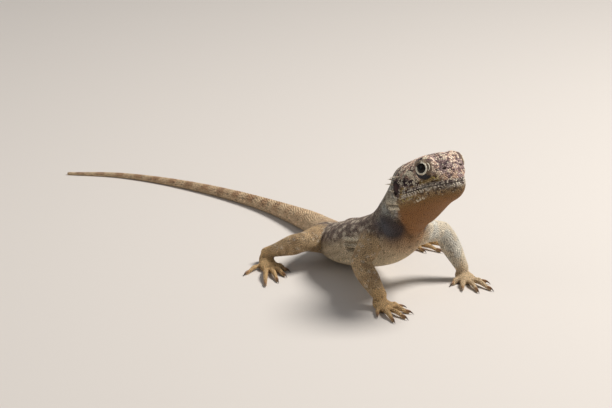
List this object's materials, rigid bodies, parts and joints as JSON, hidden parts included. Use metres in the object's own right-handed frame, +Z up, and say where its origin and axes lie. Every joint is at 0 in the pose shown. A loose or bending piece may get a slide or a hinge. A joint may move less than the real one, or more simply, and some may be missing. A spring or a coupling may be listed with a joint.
{
  "type": "lizard model",
  "caption": "Still, life-size model of a netted desert dragon lizard, propped on its forelegs with raised head, spiny nape and a long curved tail laid on the floor.",
  "frame": {"origin": "middle of the bounding box in plan, on the floor that the feet, belly and tail rest on", "axes": "-Y the way the body points, +Y towards the tail, +X the animal's left, +Z up"},
  "size_m": [0.0926, 0.2494, 0.0636],
  "materials": {
    "body_skin": "dry scaly skin, grey-brown with a pale net of spots, as a painted museum cast",
    "limb_skin": "dry scaly skin, pale beige, with dark brown claws",
    "head_skin": "dry scaly skin, purple-brown above and yellow-olive on the cheeks",
    "eye": "wet black gloss",
    "eardrum": "smooth dark red-brown membrane"
  },
  "bodies": {
    "root": {"ear_left": "eardrum", "ear_right": "eardrum", "eye_left": "eye", "eye_right": "eye", "foot_left": "limb_skin", "foot_right": "limb_skin", "forearm_left": "limb_skin", "forearm_right": "limb_skin", "hand_left": "limb_skin", "hand_right": "limb_skin", "head": "head_skin", "neck": "body_skin", "shank_left": "limb_skin", "shank_right": "limb_skin", "tail_1": "body_skin", "tail_2": "body_skin", "tail_3": "body_skin", "tail_4": "body_skin", "thigh_left": "limb_skin", "thigh_right": "limb_skin", "torso": "body_skin", "upper_arm_left": "limb_skin", "upper_arm_right": "limb_skin"}
  },
  "joints": []
}
